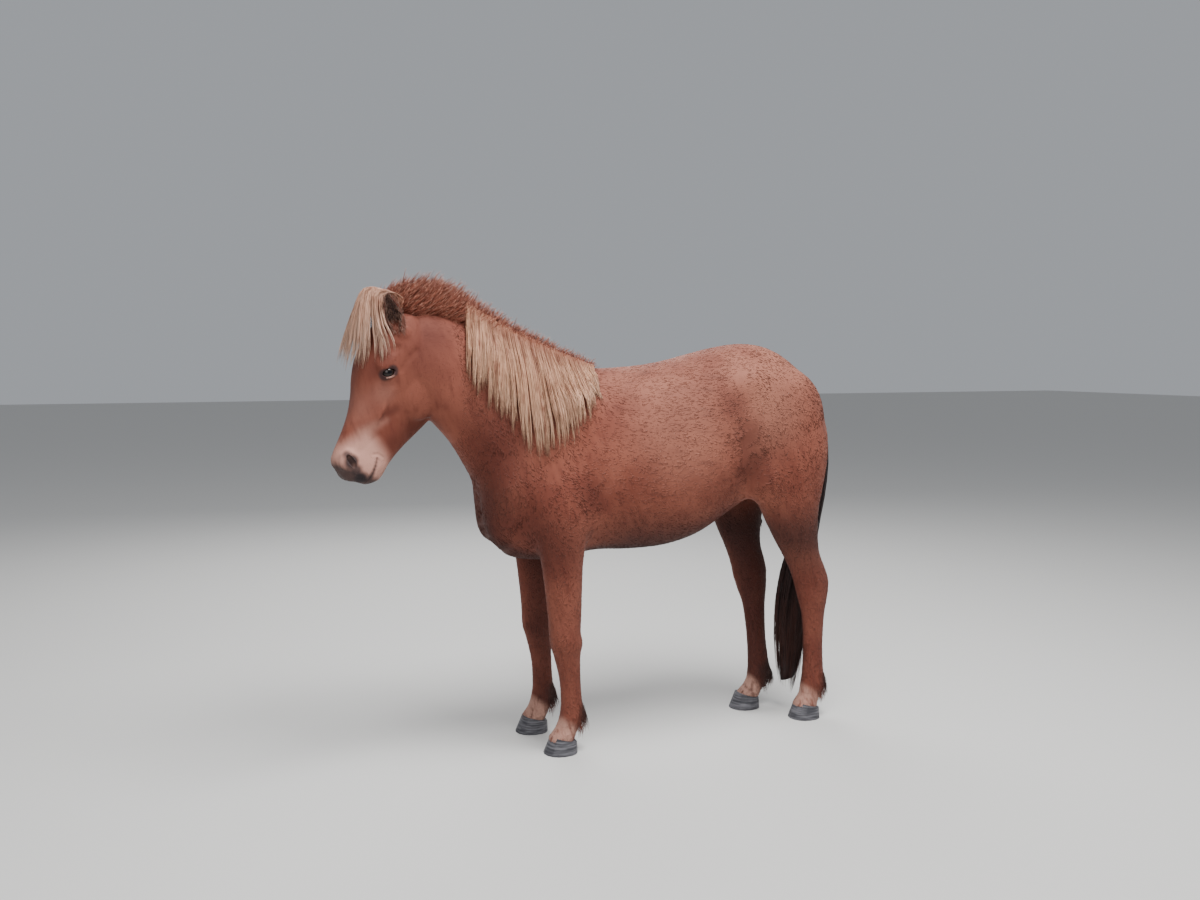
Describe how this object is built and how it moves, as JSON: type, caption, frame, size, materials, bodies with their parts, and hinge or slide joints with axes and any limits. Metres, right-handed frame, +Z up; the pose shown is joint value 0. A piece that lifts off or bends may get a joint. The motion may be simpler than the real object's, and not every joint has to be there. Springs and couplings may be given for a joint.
{
  "type": "icelandic horse model",
  "caption": "Young Icelandic horse standing at rest, head turned a little to its left, full mane and forelock, tail hanging between the hind legs; still life-size model.",
  "frame": {"origin": "on the floor, under the middle of the model's bounding box", "axes": "+Z up, -X the way the horse faces, -Y its left side"},
  "size_m": [1.7664, 0.49, 1.513],
  "materials": {
    "coat": "short soft chestnut hair",
    "mane_hair": "long flaxen hair",
    "tail_hair": "long dark brown hair",
    "hoof_horn": "dull slate-grey horn with growth rings",
    "skin": "bare dark skin of the nostrils, lips and lids",
    "eye": "wet, glossy dark brown eye"
  },
  "bodies": {
    "root": {"torso": "coat", "neck": "coat", "head": "coat", "tail": "tail_hair", "ear_left": "coat", "ear_right": "coat", "eye_left": "eye", "eye_right": "eye", "leg_fore_left": "coat", "leg_fore_right": "coat", "leg_hind_left": "coat", "leg_hind_right": "coat", "hoof_fore_left": "hoof_horn", "hoof_fore_right": "hoof_horn", "hoof_hind_left": "hoof_horn", "hoof_hind_right": "hoof_horn"}
  },
  "joints": []
}
